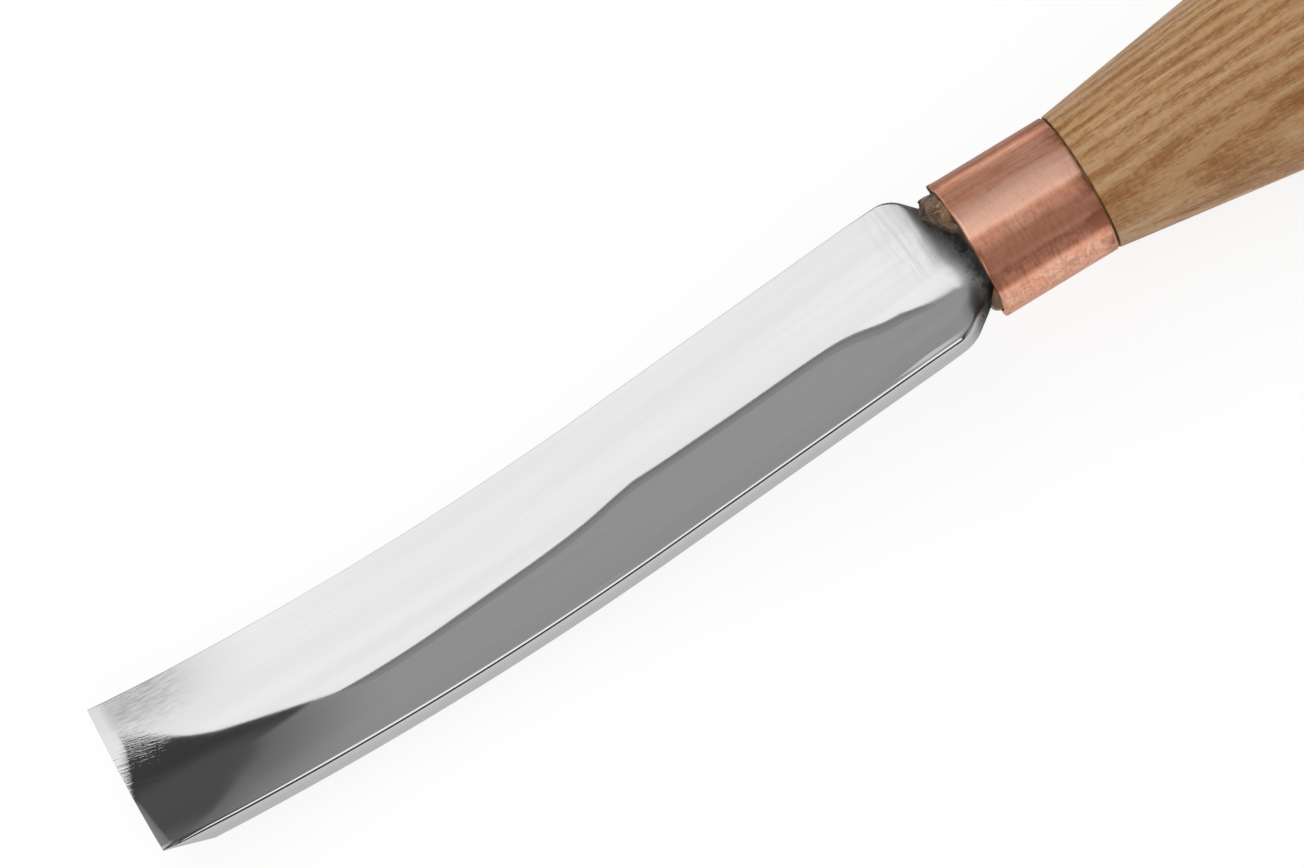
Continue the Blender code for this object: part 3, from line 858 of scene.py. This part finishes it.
def steel_finish():
    """Polished hollow with lengthwise lines, satin sides and back, black scale at the neck and a grey zone
    darkening towards it.

    Near the edge the hollow is whetted aslant, and on the far side dulled and a little smudged.
    """
    finish, start, dress = new_finish("steel_forged_and_polished")
    flow = start.node("ShaderNodeAttribute", {"attribute_name": "flow"}, {}, output=1)
    satin = start.node("ShaderNodeAttribute", {"attribute_name": "satin"}, {}, output=2)
    back = start.node("ShaderNodeAttribute", {"attribute_name": "back"}, {}, output=2)
    u, across, up = flow.parts()
    to_edge = BLADE_LENGTH - u
    polished = 1.0 - satin
    fine = flow.stretched(50.0, 5200.0, 5200.0).noise(detail=3.0, roughness=0.6)
    lines = flow.stretched(14.0, 900.0, 900.0).noise(detail=3.0, roughness=0.55)
    bands = flow.stretched(9.0, 240.0, 240.0).noise(detail=2.0)
    blotch = flow.stretched(420.0, 420.0, 420.0).noise(detail=4.0, roughness=0.65)
    grit = flow.stretched(2300.0, 2300.0, 2300.0).noise(detail=2.0, roughness=0.6)
    ground = flow.stretched(1700.0, 130.0, 130.0).noise(detail=3.0, roughness=0.6)
    smudge = flow.stretched(520.0, 3000.0, 3000.0).noise(detail=4.0, roughness=0.7)
    aslant = {0: u * 80.0, 1: (across - u * WHET_SLANT) * 3000.0, 2: up * 3000.0}
    scratch = start.node("ShaderNodeCombineXYZ", {}, aslant).noise(detail=3.0, roughness=0.6)

    # Scale reaches further out on the back, the sides and the near corner, and its edge is ragged
    corner = across.between(-5.0 * MM, -8.0 * MM)
    scale_edge = u + (blotch - 0.5) * (2.2 * MM) + (grit - 0.5) * (2.6 * MM)
    scale_reach = back * (5.0 * MM) + across.between(-2.0 * MM, 6.0 * MM) * (0.7 * MM)
    scale_reach = scale_reach + corner * (0.4 * MM) + satin * (1.8 * MM) + 0.7 * MM
    scale = (scale_edge - scale_reach).between(1.2 * MM, -0.8 * MM)
    # Grey zone that darkens towards the neck, reaching further on the far side and the near corner
    greying_reach = scale_reach * 0.6 + across.between(-4.5 * MM, 3.0 * MM) * (1.8 * MM)
    greying_reach = greying_reach + corner * (1.8 * MM)
    greying_to_neck = (u + (blotch - 0.5) * (1.6 * MM) - greying_reach).between(3.7 * MM, -0.3 * MM)

    streaks = (bands * 0.6 + lines * 0.25 + fine * 0.15).between(0.36, 0.64)
    steel = streaks.mix(tone(0.550, 0.550, 0.552), tone(0.590, 0.590, 0.592))
    crosswise = ground.between(0.40, 0.66) * u.between(13.0 * MM, 6.0 * MM)
    crosswise = crosswise * across.between(-2.0 * MM, 4.0 * MM)
    steel = (crosswise * polished * 0.42).mix(steel, tone(0.36, 0.36, 0.36))
    steel = (satin * 0.9).mix(steel, tone(0.460, 0.456, 0.450))
    steel = (greying_to_neck * 0.78).mix(steel, tone(0.14, 0.14, 0.14))
    dulled = to_edge.between(29.0 * MM, 4.0 * MM) * across.between(2.0 * MM, 12.0 * MM)
    dulled = dulled * polished * to_edge.between(1.0 * MM, 3.0 * MM, 0.4)
    steel = (dulled * streaks.between(0.1, 0.9, 0.25, 0.75)).mix(steel, tone(0.34, 0.34, 0.34))
    smudged = smudge.between(0.40, 0.62) * across.between(5.0 * MM, 11.5 * MM) * polished
    smudged = smudged * to_edge.band(1.5 * MM, 4.5 * MM, 8.0 * MM, 18.0 * MM)
    steel = (smudged * 0.55).mix(steel, tone(0.20, 0.20, 0.20))
    black = blotch.between(0.35, 0.7).mix(tone(0.012, 0.012, 0.013), tone(0.075, 0.073, 0.07))

    whet = to_edge.between(11.5 * MM, 3.0 * MM) * polished
    rough = 0.035 + lines * 0.03 + satin * 0.24 + satin * (fine - 0.5) * 0.16
    rough = rough + greying_to_neck * 0.24 + scale * 0.30 + u.between(12.0 * MM, 4.0 * MM) * 0.10
    rough = rough + whet * across.between(5.0 * MM, 12.0 * MM) * 0.07
    height = fine * (0.35 + whet * 1.2 + satin * 2.2) + lines * 0.5 + scale * blotch * 60.0
    whet = whet * across.between(-3.0 * MM, 3.0 * MM, 0.15) * across.between(10.0 * MM, 5.0 * MM, 0.25)
    height = height + scratch * whet * 36.0
    dress(
        Base_Color=scale.mix(steel, black), Metallic=1.0 - scale * 0.9, Roughness=rough,
        Normal=bump(height),
    )
    return finish


def copper_finish():
    """Brushed copper tube: drawn lines on its upper part, rings on its lower part, painted shade in bands.

    The rear edge is grimy, a strip near the top has a painted highlight, a band below it a deeper painted
    shade tint, the lower near side a painted reflection, and faint veins cross the near side.
    """
    finish, start, dress = new_finish("copper_brushed_tube")
    place = start.node("ShaderNodeTexCoord", {}, {}, output=3)
    along, y, z = place.parts()
    x = along - MOUTH[0]
    angle = x.math("ARCTAN2", y * -1.0, z - MOUTH[2])
    rings = place.stretched(2700.0, 430.0, 430.0).noise(detail=3.0, roughness=0.6)
    drawn = place.stretched(150.0, 2000.0, 2000.0).noise(detail=3.0, roughness=0.6)
    cloud = place.stretched(230.0, 230.0, 230.0).noise(detail=4.0, roughness=0.6)
    mottle = place.stretched(900.0, 900.0, 900.0).noise(detail=3.0, roughness=0.6)
    curl = place.stretched(230.0, 230.0, 230.0).noise(detail=2.0, distortion=2.6)

    from_rear = x + (cloud - 0.5) * (9.0 * MM) - FERRULE_LENGTH
    rear = from_rear.between(-3.5 * MM, 1.0 * MM)
    front = (x + (cloud - 0.5) * (2.0 * MM)).between(1.2 * MM, 0.0)
    upper = angle.between(0.20, -0.20)
    # Painted highlight along the top
    painted_highlight = angle.band(*PAINTED_HIGHLIGHT_BAND)
    veins = curl.band(0.40, 0.49, 0.49, 0.58) * angle.band(*VEINED_BAND)
    # Painted shade in bands round the tube
    painted_shade = sum(angle.band(*band) * share for share, band in PAINTED_SHADE_BANDS)
    dark = drawn.between(0.44, 0.70) * (0.10 + upper * 0.22)
    dark = dark + rings.between(0.44, 0.70) * (0.20 - upper * 0.14)
    dark = dark + rear * (0.55 + angle.band(*GRIMY_BAND) * 0.6)
    dark = dark + mottle.between(0.48, 0.72) * 0.14 + front * 0.2
    dark = dark * (1.0 - painted_highlight * 0.45) + painted_shade + veins * 0.26

    copper_and_painted_light = cloud.between(0.3, 0.7).mix(tone(0.83, 0.365, 0.225), tone(0.90, 0.460, 0.315))
    # Deeper, more saturated copper painted where the shaded band lies
    copper_and_painted_light = (angle.band(*PAINTED_SHADE_TINT_BAND) * 0.8).mix(copper_and_painted_light, tone(1.0, 0.42, 0.255))
    # Painted highlight: paler copper along the top strip
    copper_and_painted_light = (painted_highlight * 0.7).mix(copper_and_painted_light, tone(0.96, 0.59, 0.45))
    # Painted reflection of the floor low on the near side, plus pale drawn streaks
    pale = angle.band(*PAINTED_REFLECTION_BAND) * curl.between(0.3, 0.6, 0.1, 0.5)
    copper_and_painted_light = (pale + drawn.between(0.46, 0.30) * 0.35).mix(copper_and_painted_light, tone(0.96, 0.61, 0.47))
    # Wear, grime and painted shade darken the copper
    wear_and_painted_shade = dark.math("MINIMUM", dark, 1.0).mix(copper_and_painted_light, tone(0.285, 0.104, 0.056))
    rough = 0.27 + rings * 0.10 + drawn * 0.06 + rear * 0.12
    height = rings * 11.0 + drawn * 3.0 + cloud * 5.0 + mottle * 6.0
    dress(
        Base_Color=wear_and_painted_shade, Metallic=0.80, Roughness=rough, Normal=bump(height),
        Coat_Weight=0.2, Coat_Roughness=0.22, Specular_Tint=tone(0.70, 0.50, 0.42),
    )
    return finish


def ash_finish():
    """Ash with growth rings about a pith beside the handle, open pores in the dark bands, cross flecks, and
    pale bands with a painted sheen.
    """
    finish, start, dress = new_finish("ash_turned")
    place = start.node("ShaderNodeTexCoord", {}, {}, output=3)
    sway = place.stretched(9.0, 42.0, 42.0).noise(detail=2.0)
    braid = place.stretched(30.0, 230.0, 230.0).noise(detail=2.0)
    x, y, z = place.parts()
    pith_y = y - PITH_FAR
    pith_z = z - (MOUTH[2] - PITH_BELOW)
    from_pith = (pith_y * pith_y + pith_z * pith_z) ** 0.5
    ring_place = from_pith + (sway - 0.5) * (6.0 * MM) + (braid - 0.5) * (2.4 * MM) - x * PITH_LEAN
    ring = (ring_place / GROWTH_RING).math("FRACT")
    early = ring.band(0.0, 0.34, 0.38, 0.95)
    streak = place.stretched(16.0, 620.0, 620.0).noise(detail=3.0, roughness=0.6)
    fibre = place.stretched(30.0, 1900.0, 1900.0).noise(detail=3.0, roughness=0.65)
    grain = place.stretched(140.0, 5200.0, 5200.0).noise(detail=2.0)
    fleck = place.stretched(1700.0, 800.0, 800.0).noise(detail=2.0)
    pore = place.stretched(110.0, 2600.0, 2600.0).noise(detail=1.0)
    pores = pore.between(0.60, 0.70) * (0.25 + early * 0.75)
    patch = place.stretched(22.0, 60.0, 60.0).noise(detail=2.0)
    light = patch.between(0.3, 0.7).mix(tone(0.475, 0.275, 0.124), tone(0.550, 0.343, 0.172))
    dark = patch.between(0.3, 0.7).mix(tone(0.285, 0.115, 0.029), tone(0.340, 0.147, 0.043))
    shade = early * 0.42 + (streak - 0.5) * 1.0 + (fibre - 0.5) * 1.3 + (grain - 0.5) * 1.2
    wood = (shade + (fleck - 0.5) * 0.6).between(-0.25, 0.77).mix(light, dark)
    # Pale grey band just before each ring's dark wood: partly the ash's own pale tone, partly a painted
    # sheen
    pale_band_and_painted_sheen = ring.band(0.70, 0.92, 0.94, 1.0) * streak.between(0.42, 0.60)
    wood = (pale_band_and_painted_sheen * 0.45).mix(wood, tone(0.600, 0.435, 0.300))
    wood = (pores * 0.4).mix(wood, tone(0.17, 0.080, 0.030))
    end = x.between(MOUTH[0] + 1.0 * MM, MOUTH[0] - 0.6 * MM)
    stained = (end * (0.65 + patch * 0.35)).mix(wood, tone(0.17, 0.115, 0.078))
    rough = 0.50 + (fibre - 0.5) * 0.2 + pores * 0.2
    height = fibre * 6.0 - pores * 22.0 + fleck * 3.0
    dress(
        Base_Color=stained, Roughness=rough, Normal=bump(height), Specular_IOR_Level=0.35,
    )
    return finish


def resin_finish():
    """Set brown resin with pale crumbs, its mottle painted dark as shade in the hollows of its bumps and
    amber as highlight on their tops.
    """
    finish, start, dress = new_finish("resin_bedding")
    place = start.node("ShaderNodeTexCoord", {}, {}, output=3)
    big = place.stretched(420.0, 420.0, 420.0).noise(detail=4.0, roughness=0.65)
    crumb = place.stretched(1500.0, 1500.0, 1500.0).noise(detail=3.0, roughness=0.6)
    # The dark-to-amber mottle follows the bump noise: painted shade in the hollows, painted highlight on
    # the tops
    colour = big.between(0.38, 0.70).mix(tone(0.045, 0.022, 0.012), tone(0.29, 0.155, 0.075))
    colour = (crumb.between(0.57, 0.70) * 0.7).mix(colour, tone(0.50, 0.37, 0.27))
    height = big * 160.0 + crumb * 60.0
    dress(Base_Color=colour, Roughness=0.34 + crumb * 0.3, Normal=bump(height))
    return finish


# Studio

def add_card(name, corners, material, faces=None):
    """Flat card through its corners, or several faces between them, which is not part of the tool."""
    mesh = bpy.data.meshes.new(name)
    mesh.from_pydata(corners, [], faces or [tuple(range(len(corners)))])
    mesh.materials.append(material)
    card = bpy.data.objects.new(name, mesh)
    bpy.context.scene.collection.objects.link(card)
    return card


def empty_tree(owner):
    """First wire of a material's or a world's shader tree, once what it came with is cleared away."""
    owner.use_nodes = True
    owner.node_tree.nodes.clear()
    return Wire(owner.node_tree)


def glow_finish(name, strength):
    """Plain white glow."""
    material = bpy.data.materials.new(name)
    start = empty_tree(material)
    glow = start.node("ShaderNodeEmission", {}, {"Color": tone(1.0, 1.0, 1.0), "Strength": strength})
    start.node("ShaderNodeOutputMaterial", {}, {"Surface": glow})
    return material


def floor_finish():
    """White floor: mostly its own white to the eye and to metal, with enough matt to take a shadow."""
    material = bpy.data.materials.new("studio_floor")
    start = empty_tree(material)
    seen = start.node("ShaderNodeLightPath", {}, {}, output="Is Camera Ray")
    shown = seen + seen.other("Is Glossy Ray") + seen.other("Is Transmission Ray")
    shown = shown.math("MINIMUM", shown, 1.0)
    matt = start.node("ShaderNodeBsdfDiffuse", {}, {"Color": tone(0.88, 0.88, 0.88)})
    white = start.node("ShaderNodeEmission", {}, {"Color": tone(1.0, 1.0, 1.0), "Strength": FLOOR_GLOW})
    both = start.node("ShaderNodeMixShader", {}, {0: shown * FLOOR_GLOW_SHARE, 1: matt, 2: white})
    start.node("ShaderNodeOutputMaterial", {}, {"Surface": both})
    return material


def studio_world():
    """Room that the steel mirrors, as a level of grey for each direction.

    The far half is mid grey on the tip's side, where it darkens towards the handle, then dark, and
    grey again low behind the handle. The near half is dark in the middle and grey at both ends.
    """
    world = bpy.data.worlds.new("studio_room")
    bpy.context.scene.world = world
    start = empty_tree(world)
    x, y, z = start.node("ShaderNodeTexCoord", {}, {}, output=0).parts()
    grey = x.between(-0.02, 0.15, z.between(0.05, 0.5, 0.545, 0.605), 0.20)
    dark = z.between(0.84, 0.72, 0.085, 0.145) + z.between(0.42, 0.2, 0.0, 0.06)
    handle_side = (x + z.between(0.70, 0.84, 0.0, 0.05)).between(0.100, 0.110)
    far_wall = grey + handle_side * (dark - grey)
    far_wall = far_wall + x.between(0.28, 0.45) * (0.5 - far_wall)
    aside = (x * x) ** 0.5
    near_wall = aside.between(0.36, 0.55, 0.07, 0.5)
    level = near_wall + y.between(-0.05, 0.12) * (far_wall - near_wall)
    glow = start.node("ShaderNodeBackground", {}, {"Strength": level})
    start.node("ShaderNodeOutputWorld", {}, {"Surface": glow})


def add_studio():
    """Floor with a low cove, an overhead softbox with dimmer strips along its far side, and two fills.

    The fills light the tool from both sides, and metal does not mirror them.
    """
    sides = 96
    turn = np.linspace(0.0, 2.0 * math.pi, sides, endpoint=False)
    rim = np.stack([np.cos(turn), np.sin(turn), np.zeros(sides)], axis=1) * FLOOR_RADIUS
    raised = rim + np.array([0.0, 0.0, COVE_HEIGHT])
    index = np.arange(sides)
    after = np.roll(index, -1)
    cove = np.stack([index + sides, after + sides, after, index], axis=1)
    add_card("studio_floor", np.concatenate([rim, raised]).tolist(), floor_finish(),
             [tuple(range(sides))] + cove.tolist())
    corners = [np.array([MOUTH[0] + x, y, MOUTH[2] + SOFTBOX_HEIGHT]) for x, y in SOFTBOX_CORNERS]
    box = add_card("studio_softbox", corners, glow_finish("softbox_glow", SOFTBOX_STRENGTH))
    box.visible_camera = False
    handle_far, tip_far, tip_near, handle_near = corners
    handle_way = handle_far - handle_near
    tip_way = tip_far - tip_near
    for start, end, strength in SOFTBOX_RIMS:
        strip = [handle_far + handle_way * start, tip_far + tip_way * start,
                 tip_far + tip_way * end, handle_far + handle_way * end]
        card = add_card("studio_softbox_rim", strip, glow_finish("softbox_rim", strength))
        card.visible_camera = False
    for side, energy in FILL_LAMPS:
        lamp = bpy.data.lights.new("fill", "AREA")
        lamp.shape = "DISK"
        lamp.size = FILL_SIZE
        lamp.energy = energy
        fill = bpy.data.objects.new("fill", lamp)
        fill.location = (FILL_PLACE[0], FILL_PLACE[1] * side, FILL_PLACE[2])
        fill.rotation_euler = (-FILL_TILT * side, 0.0, 0.0)
        fill.visible_glossy = False
        bpy.context.scene.collection.objects.link(fill)
    studio_world()


def add_camera():
    """Camera on a leaning line of sight to its aim, rolled to the photograph's slant."""
    tip = np.array([math.cos(CAMERA_TIP), math.sin(CAMERA_TIP)])
    back = np.array([tip[1], -tip[0] * math.sin(CAMERA_LEAN), tip[0] * math.cos(CAMERA_LEAN)])
    level = np.array([1.0, 0.0, 0.0]) - back * back[0]
    level = level / np.linalg.norm(level)
    above = np.cross(back, level)
    right = math.cos(CAMERA_ROLL) * level - math.sin(CAMERA_ROLL) * above
    up = math.sin(CAMERA_ROLL) * level + math.cos(CAMERA_ROLL) * above
    place = MOUTH + CAMERA_AIM + back * CAMERA_REACH
    lens = bpy.data.cameras.new("camera")
    lens.sensor_fit = "HORIZONTAL"
    lens.sensor_width = SENSOR_MM
    lens.lens = CAMERA_LENS_PIXELS / IMAGE_WIDTH_PIXELS * SENSOR_MM
    lens.clip_start, lens.clip_end = CAMERA_CLIP
    camera = bpy.data.objects.new("camera", lens)
    matrix = np.eye(4)
    matrix[:3] = np.stack([right, up, back, place], axis=1)
    camera.matrix_world = matrix.T.tolist()
    bpy.context.scene.collection.objects.link(camera)
    bpy.context.scene.camera = camera


make_blade(steel_finish())
make_ferrule(copper_finish())
make_handle(ash_finish())
make_resin(resin_finish())
add_studio()
add_camera()
bpy.context.scene.view_settings.view_transform = "Standard"
